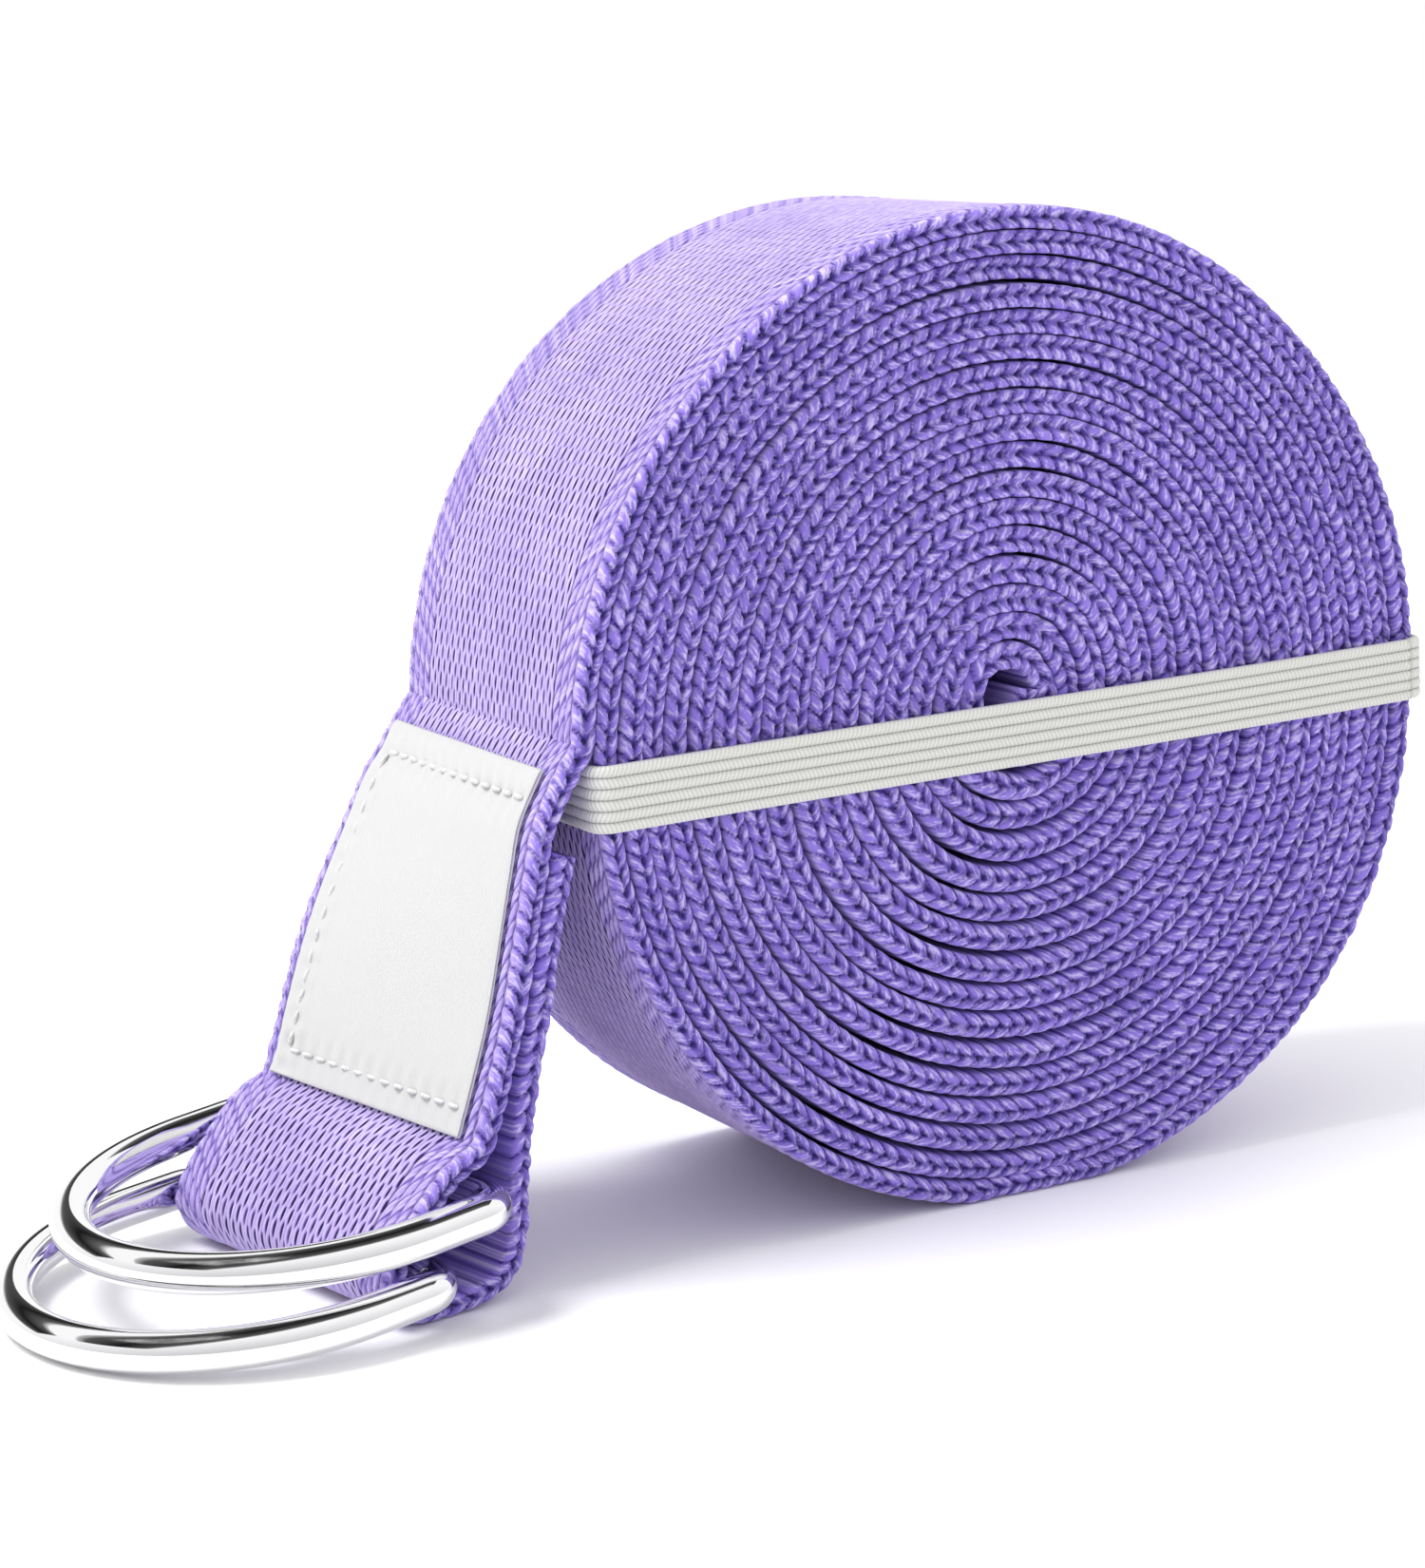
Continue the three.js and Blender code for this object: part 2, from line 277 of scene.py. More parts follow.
def strap_rows():
    """Where each row of the mesh is: its middle, outward direction, distance from the core, turns from
    the tail, the hinge's distance, and how loose the roll is there.
    """
    turns = np.linspace(TURNS, TAIL_LEAVES_AT, LINE_STEPS)
    roll = spiral(turns, WEB_THICK / 2)
    into_roll = np.vstack([CORE_FOLD, roll[:1], roll[CORE_FOLD_AIM : CORE_FOLD_AIM + 1]])
    fold = centripetal(into_roll, CORE_FOLD_STEPS)[:-CORE_FOLD_STEPS]
    line = np.vstack([fold[:-1], roll, TAIL_LINE[1:]])
    turns = np.concatenate([np.full(len(fold) - 1, TURNS), turns, np.zeros(len(TAIL_LINE) - 1)])
    at = lengths(line)
    end = at[-1] - BACK_LAYER_SHORT
    s = np.linspace(0, end, int(end / ROW_STEP))
    x = np.interp(s, at, line[:, 0])
    z = np.interp(s, at, line[:, 1])
    row_turns = np.interp(s, at, turns)
    hinge_at = at[len(fold) + len(roll) - 2]
    looseness = np.clip((hinge_at - s) / LOOSE_FROM, 0, 1)
    x, z = loosened(x, z, row_turns, looseness)
    along = directions(np.column_stack([x, z]))
    outward = np.column_stack([along[:, 1], -along[:, 0]])
    return np.column_stack([x, z]), outward, s, row_turns, hinge_at, looseness


def loosened(x, z, turns, looseness):
    """The turns of a hand-rolled strap, which press on each other unevenly."""
    wave = sum(height * np.sin(2 * np.pi * count * turns + phase) for height, count, phase in LOOSE_WAVES)
    radius = np.maximum(np.hypot(x, z), 1)
    scale = 1 + looseness * wave / radius
    return x * scale, np.maximum(z * scale, -ROLL_HEIGHT + EDGE_THICK / 2 + FLOOR_GAP)


def hump(phase):
    """One plump yarn per whole number, with a sharp crease between neighbours."""
    inside = 2 * (phase % 1) - 1
    return np.sqrt(np.maximum(1 - inside**2, 0))


def edge_profile(s, turns, side):
    """The chain of Vs along one edge: across, outward, and the yarn's place, length and depth.

    Slow sine waves and random plumpness keep the stitches from being all the same.
    """
    angle = np.linspace(-np.pi / 2, np.pi / 2, EDGE_COLUMNS)
    across = np.sin(angle)
    jitter = 0.14 * np.sin(s / 5.3 + side) + 0.1 * np.sin(s / 2.1 + 2 * side)
    leg = 0.16 * np.sign(across) * np.sin(s / 3.1 + 5 * side)[:, None]
    phase = (s / STITCH + jitter)[:, None] + CHAIN_SLANT * np.abs(across) + leg
    middle = 0.16 * np.sin(s / 4.3 + side)[:, None]
    groove = np.exp(-(((across - middle) / CREASE_WIDTH) ** 2))
    plump = 0.75 + 0.5 * RANDOM.random((int(phase.max()) + 2, 2))
    plump = plump[np.floor(phase).astype(int), (across > 0).astype(int)]
    top = hump(phase) * plump
    relief = CHAIN_RELIEF * (top - 0.75) - CHAIN_GROOVE * groove
    relief = relief * (0.25 + 0.75 * np.cos(angle))
    half = (EDGE_THICK + EDGE_THICKENS * PITCH_GROWTH * turns)[:, None] / 2 + 0.45 * relief
    outward = half * across
    sideways = WEB_WIDTH / 2 - EDGE_DEPTH + (EDGE_DEPTH + relief) * np.cos(angle) ** 0.8
    along = 2.2 * across + 0 * phase
    depth = np.clip(1.15 * hump(phase) - 0.75 * groove, 0, 1)
    return sideways, outward, np.stack([phase, along, depth], -1)


def plain_weave(s, y):
    """The warp yarns with slits between them: height, and the yarn's place, length and depth."""
    wander = 0.12 * np.sin(s / 6.1)[:, None]
    across = y[None, :] / YARN + wander
    groove = np.rint(across).astype(int)
    stagger = np.where(groove % 2 == 0, 0, 0.5)
    drift = 0.12 * np.sin(s / 11)[:, None]
    beat = s[:, None] / FLOAT + stagger + drift
    number = np.floor(beat).astype(int)
    low = groove.min()
    of_slit = RANDOM.random((number.max() + 2, groove.max() - low + 1))[number, groove - low]
    of_row = RANDOM.random((number.max() + 2, 1))[number, 0]
    chance = 0.5 * of_slit + 0.5 * of_row
    pulse = np.clip(1.5 * np.sin(np.pi * (beat % 1)) ** 2 - 0.5, 0, 1)
    slit = YARN_GROOVE + SLIT_DEPTH * pulse * (0.35 + 0.9 * chance)
    valley = np.exp(-(((across - groove) / SLIT_WIDTH) ** 2))
    depth = 1 - valley * np.clip(slit / (0.8 * SLIT_DEPTH), 0, 1)
    return 0.05 - slit * valley, across, s[:, None] + FLOAT * drift, depth


def rope_columns(s, y):
    """The rope-like columns beside the chain: height, and the yarn's place, length and depth."""
    inside = (np.abs(y) - ROPE_FROM) / ROPE_WIDTH
    off_middle = (2 * (inside % 1) - 1)[None, :]
    phase = s[:, None] / STITCH + 0.55 * off_middle + 0.37 * np.floor(inside)[None, :]
    round_top = np.sqrt(np.maximum(1 - (0.93 * off_middle) ** 2, 0))
    height = ROPE_RELIEF * (round_top * (0.55 + 0.45 * hump(phase)) - 0.7)
    return height, phase, 1.2 * off_middle, 1.2 * round_top * hump(phase)


def face_profile(s, y):
    """The outer face: its height, the yarn's place, length and depth, and how plain the weave is."""
    roped = (np.abs(y) >= ROPE_FROM)[None, :]
    pairs = zip(rope_columns(s, y), plain_weave(s, y), strict=True)
    height, place, along, depth = (np.where(roped, rope, plain) for rope, plain in pairs)
    tone = np.where(roped, ROPE_TONE, 1) + 0 * height
    return height, np.stack([place, along, np.clip(depth, 0, 1)], -1), tone


def edge_tones(rows):
    """The chain's colour on both edges, which turns into the ropes' colour at the outer face. The face's
    weave is paler than the chain partly by painted sheen.
    """
    tones = np.zeros((2 * rows, EDGE_COLUMNS))
    tones[:rows, -1] = ROPE_TONE
    tones[rows:, 0] = ROPE_TONE
    tones[:rows, -2] = ROPE_TONE / 2
    tones[rows:, 1] = ROPE_TONE / 2
    return tones


def strap_mesh():
    """The whole strap as one closed surface: two edges, the outer face and the plain inner face."""
    middle, outward, s, turns, hinge_at, looseness = strap_rows()
    rows = len(s)
    fine_from = int(np.argmax(turns < FINE_TURNS))
    sway = looseness * (0.22 * np.sin(s / 17) + 0.15 * np.sin(s / 7.3 + 1))

    def placed(first, y, offset):
        """Points at y across the webbing and offset along each row's outward direction."""
        x = middle[first:, 0, None] + outward[first:, 0, None] * offset
        z = middle[first:, 1, None] + outward[first:, 1, None] * offset
        points = np.stack([x, y + sway[first:, None], z], -1)
        on_the_tail = (s[first:] > hinge_at)[:, None, None]
        return np.where(on_the_tail, yawed(points), points)

    near_y, near_out, near_yarn = edge_profile(s, turns, 0)
    far_y, far_out, far_yarn = edge_profile(s, turns, 1)
    near = placed(0, -near_y, near_out)
    far = placed(0, far_y[:, ::-1], far_out[:, ::-1])
    reach = WEB_WIDTH / 2 - EDGE_DEPTH
    columns = np.arange(-reach + COLUMN_STEP, reach - COLUMN_STEP / 2, COLUMN_STEP)
    height, face_yarn, face_tone = face_profile(s[fine_from:], columns)
    face = placed(fine_from, columns[None, :] + 0 * height, WEB_THICK / 2 + height)

    points = np.vstack([near.reshape(-1, 3), far.reshape(-1, 3), face.reshape(-1, 3)])
    yarn = np.vstack([
        near_yarn.reshape(-1, 3),
        far_yarn[:, ::-1].reshape(-1, 3),
        face_yarn.reshape(-1, 3),
    ])
    each = rows * EDGE_COLUMNS
    near_grid = np.arange(each).reshape(rows, -1)
    far_grid = near_grid + each
    face_grid = 2 * each + np.arange(face.shape[0] * face.shape[1]).reshape(face.shape[:2])
    face_grid = np.hstack([near_grid[fine_from:, -1:], face_grid, far_grid[fine_from:, :1]])
    hidden = np.column_stack([near_grid[:fine_from, -1], far_grid[:fine_from, 0]])
    inner = np.column_stack([far_grid[:, -1], near_grid[:, 0]])
    panels = [near_grid, far_grid, face_grid, hidden, inner]
    quads = np.vstack([grid_quads(panel) for panel in panels])
    join = [near_grid[fine_from - 1, -1], far_grid[fine_from - 1, 0], *face_grid[0][::-1]]
    core_end = [*near_grid[0], *far_grid[0]][::-1]
    tail_end = [*near_grid[-1], *face_grid[-1][1:-1], *far_grid[-1]]
    made = mesh_object("strap_webbing", lift(points), quads, [join, core_end, tail_end])
    # The third part of the yarn vector, its depth, is what the webbing material paints shade by.
    add_vectors(made, "yarn", yarn)
    tone = made.data.attributes.new("flat_face", "FLOAT", "POINT")
    tones = np.concatenate([edge_tones(rows).ravel(), face_tone.ravel()])
    tone.data.foreach_set("value", tones.astype(np.float32))
    bake_layout(made, panels, rows, fine_from)
    return made, s[-1]


BAKE_STRIPS = 6
BAKE_WIDTHS = (3.6, 3.6, 36, 36, 36)  # of the panels, in the order in strap_mesh
BAKE_STARTS = (0, 38.8, 2, 2, 44)
BAKE_STRIP_WIDTH = 84
BAKE_FILL = 0.98


def bake_layout(made, panels, rows, fine_from):
    """A texture map for baking: the webbing unrolled and cut into strips that lie side by side."""
    per_strip = math.ceil(rows / BAKE_STRIPS)
    uvs = []
    for panel, width, start in zip(panels, BAKE_WIDTHS, BAKE_STARTS, strict=True):
        first = fine_from if panel is panels[2] else 0
        row = first + np.arange(panel.shape[0] - 1)
        strip = row // per_strip
        across = (start + width * np.linspace(0, 1, panel.shape[1])) / BAKE_STRIP_WIDTH
        for_row = []
        for add_row, add_column in ((0, 0), (0, 1), (1, 1), (1, 0)):
            v = (row + add_row - strip * per_strip) / per_strip
            u0 = across[add_column : len(across) - 1 + add_column]
            u = (strip[:, None] + BAKE_FILL * u0[None, :]) / BAKE_STRIPS
            for_row.append(np.stack([u, np.broadcast_to(v[:, None], u.shape)], -1))
        uvs.append(np.stack(for_row, -2).reshape(-1, 2))
    corners = len(made.data.loops)
    flat = np.zeros((corners, 2), np.float32)
    joined = np.vstack(uvs)
    flat[: len(joined)] = joined
    layer = made.data.uv_layers.new(name="OFBake")
    layer.data.foreach_set("uv", flat.ravel())


# ---- Materials ----


def new_material(name, roughness, **constants):
    """A node material, with its node tree and its Principled shader."""
    material = bpy.data.materials.new(name)
    material.use_nodes = True
    tree = material.node_tree
    shader = tree.nodes["Principled BSDF"]
    shader.inputs["Roughness"].default_value = roughness
    for key, value in constants.items():
        shader.inputs[key.replace("_", " ")].default_value = value
    return material, tree, shader


def add_node(tree, kind, **settings):
    """A new node with these settings."""
    node = tree.nodes.new(kind)
    for key, value in settings.items():
        setattr(node, key, value)
    return node


def math_node(tree, operation, a, b):
    """The result of a math node on two values, each a socket or a number."""
    node = add_node(tree, "ShaderNodeMath", operation=operation)
    for socket, value in zip(node.inputs, (a, b), strict=False):
        if hasattr(value, "is_linked"):
            tree.links.new(value, socket)
        else:
            socket.default_value = value
    return node.outputs[0]


def ramp(tree, factor, stops):
    """A colour ramp from (place, colour) stops."""
    node = add_node(tree, "ShaderNodeValToRGB")
    elements = node.color_ramp.elements
    while len(elements) < len(stops):
        elements.new(0.5)
    for element, (place, color) in zip(elements, stops, strict=True):
        element.position = place
        element.color = (*color, 1)
    tree.links.new(factor, node.inputs["Fac"])
    return node.outputs["Color"]


def mixed(tree, blend, factor, a, b):
    """The two colours mixed, each a socket or a colour."""
    node = add_node(tree, "ShaderNodeMix", data_type="RGBA", blend_type=blend)
    for socket, value in ((node.inputs[0], factor), (node.inputs[6], a), (node.inputs[7], b)):
        if hasattr(value, "is_linked"):
            tree.links.new(value, socket)
        else:
            socket.default_value = value
    return node.outputs[2]


def noise(tree, vector, scale, detail):
    """Smooth noise at the vector."""
    node = add_node(tree, "ShaderNodeTexNoise")
    node.inputs["Scale"].default_value = scale
    node.inputs["Detail"].default_value = detail
    tree.links.new(vector, node.inputs["Vector"])
    return node.outputs["Fac"]


def bump(tree, shader, height, strength, distance):
    """Fine relief on the shader's surface."""
    node = add_node(tree, "ShaderNodeBump")
    node.inputs["Strength"].default_value = strength
    node.inputs["Distance"].default_value = distance
    tree.links.new(height, node.inputs["Height"])
    tree.links.new(node.outputs["Normal"], shader.inputs["Normal"])


SLIT_HALF_WIDTH = 0.36  # of a yarn
SLIT_HALF_LENGTH = 0.29  # of a float


def slit_mask(tree, place, along, flat_face):
    """How much a point lies in one of the slits of the plain weave, staggered from yarn to yarn. The
    webbing material paints shade into these slits.
    """
    number = math_node(tree, "ROUND", place, 0.0)
    stagger = math_node(tree, "MULTIPLY", number, 0.5)
    beat = math_node(tree, "ADD", math_node(tree, "DIVIDE", along, FLOAT), stagger)
    across = math_node(tree, "DIVIDE", math_node(tree, "PINGPONG", place, 0.5), SLIT_HALF_WIDTH)
    swell = math_node(tree, "SUBTRACT", 0.5, math_node(tree, "PINGPONG", beat, 0.5))
    length = math_node(tree, "DIVIDE", swell, SLIT_HALF_LENGTH)
    across_square = math_node(tree, "POWER", across, 2.0)
    size = math_node(tree, "ADD", across_square, math_node(tree, "POWER", length, 2.0))
    cell = add_node(tree, "ShaderNodeCombineXYZ")
    tree.links.new(number, cell.inputs[0])
    tree.links.new(math_node(tree, "FLOOR", beat, 0.0), cell.inputs[1])
    chance = add_node(tree, "ShaderNodeTexWhiteNoise")
    tree.links.new(cell.outputs[0], chance.inputs["Vector"])
    open_by = math_node(tree, "ADD", math_node(tree, "MULTIPLY", chance.outputs["Value"], 0.9), 0.45)
    mask = math_node(tree, "SUBTRACT", 1.0, size)
    mask.node.use_clamp = True
    strong = math_node(tree, "MULTIPLY", math_node(tree, "MULTIPLY", mask, 1.8), open_by)
    strong.node.use_clamp = True
    return math_node(tree, "MULTIPLY", strong, math_node(tree, "GREATER_THAN", flat_face, 0.9))


def webbing_material():
    """Matt purple yarn, with painted shade in its creases and slits, and pale fibre streaks kept to the
    yarn's tops as a painted highlight.
    """
    material, tree, shader = new_material(
        "webbing", 0.75, Sheen_Weight=0.1, Sheen_Roughness=0.4, Specular_IOR_Level=0.3
    )
    yarn = add_node(tree, "ShaderNodeAttribute", attribute_name="yarn")
    split = add_node(tree, "ShaderNodeSeparateXYZ")
    tree.links.new(yarn.outputs["Vector"], split.inputs[0])
    place, along, depth = split.outputs
    flat_face = add_node(tree, "ShaderNodeAttribute", attribute_name="flat_face").outputs["Fac"]
    closed = math_node(tree, "SUBTRACT", 1.0, slit_mask(tree, place, along, flat_face))
    # deep is 1 on the yarn's tops and 0 in its creases and slits; the ramps below paint shade by it.
    deep = math_node(tree, "MULTIPLY", depth, closed)
    stretched = add_node(tree, "ShaderNodeCombineXYZ")
    tree.links.new(math_node(tree, "MULTIPLY", place, 5.0), stretched.inputs[0])
    tree.links.new(math_node(tree, "MULTIPLY", along, 0.9), stretched.inputs[1])
    tree.links.new(math_node(tree, "MULTIPLY", place, 0.13), stretched.inputs[2])
    fibres = noise(tree, stretched.outputs[0], 1.0, 3.0)
    where = add_node(tree, "ShaderNodeTexCoord").outputs["Object"]
    patches = noise(tree, where, 90.0, 3.0)
    # Painted shade: both ramps go from near black in the creases and slits to the yarn's colour on its
    # tops.
    chain = ramp(tree, deep, (
        (0.0, (0.012, 0.005, 0.07)),
        (0.4, (0.07, 0.038, 0.30)),
        (1.0, (0.30, 0.21, 0.72)),
    ))
    # The weave's tops are paler and pinker than the chain's: partly the face's colour, partly painted
    # sheen of the lit outer face.
    weave = ramp(tree, deep, (
        (0.0, (0.02, 0.008, 0.09)),
        (0.45, (0.17, 0.11, 0.42)),
        (1.0, (0.57, 0.46, 0.81)),
    ))
    body = mixed(tree, "MIX", flat_face, chain, weave)
    # The pale streaks are partly the fibres' own lighter colour and partly a painted highlight, as they
    # are kept to the yarn's tops.
    streaks = ramp(tree, fibres, ((0.48, (0, 0, 0)), (0.62, (1, 1, 1))))
    painted_highlight = math_node(tree, "MULTIPLY", streaks, math_node(tree, "POWER", deep, 1.5))
    light = mixed(tree, "MIX", painted_highlight, body, (0.76, 0.68, 0.97, 1))
    softened = mixed(tree, "MIX", 0.68, body, light)
    tone = ramp(tree, patches, ((0.3, (0.82, 0.81, 0.87)), (0.7, (1, 1, 1))))
    tree.links.new(mixed(tree, "MULTIPLY", 1.0, softened, tone), shader.inputs["Base Color"])
    bump(tree, shader, fibres, 0.9, 0.0002)
    shader.inputs["Sheen Tint"].default_value = (0.85, 0.8, 1, 1)
    return material


def chrome_material():
    """Bright plating with faint smears."""
    material, tree, shader = new_material("ring_chrome", 0.05, Metallic=1.0)
    shader.inputs["Base Color"].default_value = (0.86, 0.86, 0.87, 1)
    where = add_node(tree, "ShaderNodeTexCoord").outputs["Object"]
    smears = noise(tree, where, 220.0, 4.0)
    rough = ramp(tree, smears, ((0.4, (0.045, 0.045, 0.045)), (0.75, (0.1, 0.1, 0.1))))
    tree.links.new(rough, shader.inputs["Roughness"])
    return material


def elastic_material():
    """Light grey ribs with slanted ticks of yarn, and painted shade darkening the grooves between the
    ribs.
    """
    material, tree, shader = new_material("elastic", 0.75, Sheen_Weight=0.2)
    cloth = add_node(tree, "ShaderNodeAttribute", attribute_name="cloth")
    split = add_node(tree, "ShaderNodeSeparateXYZ")
    tree.links.new(cloth.outputs["Vector"], split.inputs[0])
    along, rib, side = split.outputs
    slant = math_node(tree, "ADD", math_node(tree, "MULTIPLY", along, 2.2), rib)
    ticks = math_node(tree, "SINE", math_node(tree, "MULTIPLY", slant, 2 * math.pi), 0.0)
    fine = math_node(tree, "MULTIPLY_ADD", ticks, 0.5)
    fine.node.inputs[2].default_value = 0.5
    # Painted shade: darker where the shade value is low, in the grooves between the ribs and a little on
    # the loop's inside.
    groove = ramp(tree, side, (
        (0.0, (0.33, 0.33, 0.31)),
        (0.6, (0.62, 0.62, 0.6)),
        (1.0, (0.74, 0.74, 0.7)),
    ))
    tone = ramp(tree, fine, ((0.0, (0.8, 0.8, 0.8)), (1.0, (1, 1, 1))))
    tree.links.new(mixed(tree, "MULTIPLY", 1.0, groove, tone), shader.inputs["Base Color"])
    bump(tree, shader, fine, 0.5, 0.00012)
    return material


WARP_STEP = 0.28
WEFT_STEP = 0.4


def satin_material():
    """White cloth with a fine woven grain."""
    material, tree, shader = new_material("satin", 0.42, Sheen_Weight=0.25, Specular_IOR_Level=0.4)
    cloth = add_node(tree, "ShaderNodeAttribute", attribute_name="cloth")
    split = add_node(tree, "ShaderNodeSeparateXYZ")
    tree.links.new(cloth.outputs["Vector"], split.inputs[0])
    across, along, _ = split.outputs
    warp = math_node(tree, "SINE", math_node(tree, "MULTIPLY", across, 2 * math.pi / WARP_STEP), 0.0)
    weft = math_node(tree, "SINE", math_node(tree, "MULTIPLY", along, 2 * math.pi / WEFT_STEP), 0.0)
    grain = math_node(tree, "MULTIPLY", warp, weft)
    tone = ramp(tree, grain, ((0.0, (0.54, 0.54, 0.54)), (0.7, (0.62, 0.62, 0.615))))
    tree.links.new(tone, shader.inputs["Base Color"])
    bump(tree, shader, grain, 0.3, 0.00006)
    return material


def thread_material(name, color):
    """Twisted sewing thread."""
    material, tree, shader = new_material(name, 0.6, Sheen_Weight=0.2)
    where = add_node(tree, "ShaderNodeTexCoord").outputs["Object"]
    twist = noise(tree, where, 3000.0, 2.0)
    dark = tuple(0.8 * c for c in color)
    tree.links.new(ramp(tree, twist, ((0.3, dark), (0.6, color))), shader.inputs["Base Color"])
    bump(tree, shader, twist, 0.4, 0.0001)
    return material


def finish_piece(made, material, slot, *nodes):
    """Gives a piece its material and hides the CAD nodes that it stands for. The slot is not used."""
    made.data.materials.append(material)
    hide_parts(*nodes)
    return made


# ---- Label and stitches ----


LABEL_GRID = (150, 130)
LABEL_EDGE = 0.6  # the turned-over top edge dips within this distance
LABEL_CURL = 0.35


def label_mesh():
    """The label, thin and closed, with a folded hem along its far side and puckers at its seams."""
    rows, columns = LABEL_GRID
    distance = LABEL_START + np.linspace(0, LABEL_LENGTH, rows)
    y = np.linspace(-LABEL_WIDTH / 2, LABEL_WIDTH / 2, columns)
    d, w = np.meshgrid(distance, y, indexing="ij")
    half = LABEL_WIDTH / 2
    from_top = d - LABEL_START
    from_bottom = LABEL_START + LABEL_LENGTH - d
    pucker = np.exp(-((from_top - LABEL_SEAM_INSET) ** 2) / 3) + np.exp(
        -((from_bottom - LABEL_SEAM_INSET) ** 2) / 3
    )
    hem = 1 / (1 + np.exp(-(w - half + LABEL_SEAM_INSET + 0.7) * 6))
    side_pull = np.exp(-((w - half + LABEL_SEAM_INSET - 0.9) ** 2) / 2)
    height = 0.13 * pucker * np.sin(2.6 * w + 0.8 * np.sin(d)) - 0.14 * pucker
    height = height + 0.1 * side_pull * np.sin(2.4 * d) - 0.12 * side_pull + 0.14 * hem
    dip = 0.12 * (from_top < LABEL_EDGE) * (1 - from_top / LABEL_EDGE)
    height = height + 0.06 * np.sin(0.35 * w + 0.2 * d) - dip
    curl = np.minimum(np.minimum(from_top, from_bottom), half - np.abs(w))
    height = height - 0.18 * np.exp(-curl / LABEL_CURL)
    top = LABEL_BACK + LABEL_THICK
    x, z = on_tail(d, top + height)
    face = yawed(np.stack([x, w, z], -1))
    x, z = on_tail(d, LABEL_BACK + 0 * d)
    back = yawed(np.stack([x, w, z], -1))
    points = np.vstack([face.reshape(-1, 3), back.reshape(-1, 3)])
    grid = np.arange(rows * columns).reshape(rows, columns)
    under = grid + rows * columns
    rim = np.concatenate([grid[0, :], grid[1:, -1], grid[-1, -2::-1], grid[-2:0:-1, 0]])
    rim = np.append(rim, rim[0])
    around = np.column_stack([rim, rim + rows * columns])[:, ::-1]
    quads = np.vstack([grid_quads(grid), grid_quads(under[:, ::-1]), grid_quads(around)])
    made = mesh_object("label_cloth", lift(points), quads)
    cloth = np.stack([w, d, 0 * d], -1).reshape(-1, 3)
    add_vectors(made, "cloth", np.vstack([cloth, cloth]))
    return made


CAPSULE_SIDES = 10
STITCH_RINGS = 9
STITCH_SHARE = (0.14, 0.86)  # of its place in the row, where a stitch starts and ends
STITCH_RADIUS = 0.26


def capsule_faces(start, rings, inside_out):
    """The quads and end caps of one capsule whose first point is number start."""
    grid = start + np.arange(rings * CAPSULE_SIDES).reshape(rings, CAPSULE_SIDES)
    grid = np.hstack([grid, grid[:, :1]])
    if inside_out:
        grid = grid[:, ::-1]
    return grid_quads(grid), [list(grid[0, :-1])[::-1], list(grid[-1, :-1])]


def stitch_row(name, ends, count, rise):
    """A row of running stitches as plump capsules. ends are (distance, across) of its two ends."""
    angle = np.arange(CAPSULE_SIDES) * 2 * np.pi / CAPSULE_SIDES
    points = []
    quads = []
    ngons = []
    (d0, w0), (d1, w1) = ends
    side = np.array([w1 - w0, d0 - d1]) / math.hypot(w1 - w0, d1 - d0)
    for i in range(count):
        a, b = ((i + share) / count for share in STITCH_SHARE)
        faces, caps = capsule_faces(len(points) * CAPSULE_SIDES, STITCH_RINGS, False)
        quads.append(faces)
        ngons += caps
        for t in np.linspace(0, 1, STITCH_RINGS):
            share = a + (b - a) * t
            bow = math.sin(math.pi * t)
            thick = STITCH_RADIUS * (0.35 + 0.65 * bow**0.5)
            dd = d0 + (d1 - d0) * share + thick * np.cos(angle) * side[0]
            ww = w0 + (w1 - w0) * share + thick * np.cos(angle) * side[1]
            x, z = on_tail(dd, rise + 0.12 * bow - 0.1 + thick * np.sin(angle))
            points.append(yawed(np.stack([x, ww, z], -1)))
    return mesh_object(name, lift(np.vstack(points)), np.vstack(quads), ngons)


# ---- D-rings ----


def ring_outline():
    """The wire's centre line in its own plane: the bar on Y, two legs and a half circle to -X."""
    wide = RING_HALF_WIDTH
    bent = RING_CORNER
    straight = wide - bent
    corner = np.linspace(0, np.pi / 2, 14)
    bend = np.linspace(np.pi / 2, 3 * np.pi / 2, 150)
    pieces = [
        np.column_stack([np.zeros(60), np.linspace(-straight, straight, 60)]),
        np.column_stack([bent * (np.cos(corner) - 1), straight + bent * np.sin(corner)]),
        np.column_stack([np.linspace(-bent, -RING_LEG, 12), np.full(12, wide)]),
        np.column_stack([-RING_LEG + wide * np.cos(bend), wide * np.sin(bend)]),
        np.column_stack([np.linspace(-RING_LEG, -bent, 12), np.full(12, -wide)]),
        np.column_stack([bent * (np.sin(corner) - 1), -straight - bent * np.cos(corner)]),
    ]
    line = np.vstack(pieces)
    keep = np.linalg.norm(line - np.roll(line, 1, axis=0), axis=1) > 1e-6
    return line[keep]


WIRE_SIDES = 32


